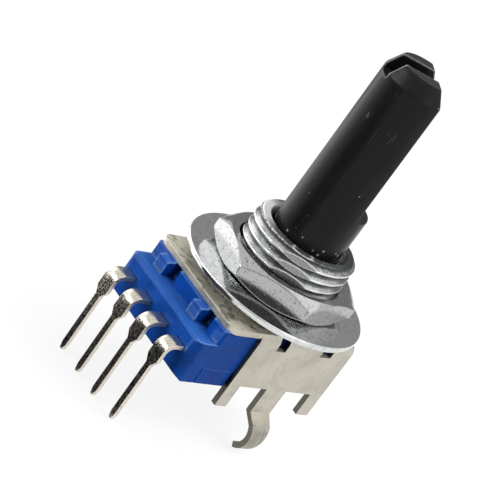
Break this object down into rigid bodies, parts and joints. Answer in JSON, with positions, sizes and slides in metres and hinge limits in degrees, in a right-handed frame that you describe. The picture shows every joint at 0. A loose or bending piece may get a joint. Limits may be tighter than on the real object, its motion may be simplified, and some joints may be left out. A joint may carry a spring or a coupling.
{
  "type": "rotary potentiometer",
  "caption": "Upright board-mounted rotary potentiometer with a slotted D-shaft, threaded bushing with nut and washer, blue housing in a folded steel frame, and bent pins.",
  "frame": {"origin": "on the shaft's axis, at the top of the steel frame's plate", "axes": "+Z along the shaft towards its tip, -Y towards the terminals, +X towards terminal 4"},
  "size_m": [0.0156, 0.0196, 0.0329],
  "materials": {
    "frame_steel": "cold-rolled strip, bright tin plate",
    "zinc": "die-cast zinc alloy, dull nickel plate",
    "washer_steel": "punched steel, bright nickel plate",
    "nut_steel": "turned steel, nickel plate",
    "blue_plastic": "injection moulded, satin",
    "phenolic": "paper laminate",
    "carbon_film": "printed carbon film",
    "silver_film": "printed silver film",
    "terminal_metal": "punched brass, tin plate",
    "rivet_brass": "drawn brass",
    "rotor_phenolic": "moulded phenolic",
    "contact_bronze": "phosphor bronze spring strip",
    "black_plastic": "injection moulded, satin black"
  },
  "bodies": {
    "body": {"frame": "frame_steel", "bushing": "zinc", "washer": "washer_steel", "hex_nut": "nut_steel", "housing": "blue_plastic", "bottom_cover": "blue_plastic", "element_board": "phenolic", "carbon_track": "carbon_film", "silver_tracks": "silver_film", "terminal_1": "terminal_metal", "terminal_2": "terminal_metal", "terminal_3": "terminal_metal", "terminal_4": "terminal_metal", "terminal_rivets": "rivet_brass"},
    "turning_shaft": {"shaft": "black_plastic", "rotor": "rotor_phenolic", "wiper_contact": "contact_bronze"}
  },
  "joints": [
    {"name": "shaft_turn", "type": "hinge", "parent": "body", "child": "turning_shaft", "pos_m": [0, 0, 0], "axis": [0, 0, 1], "range_deg": [-120, 180]}
  ]
}
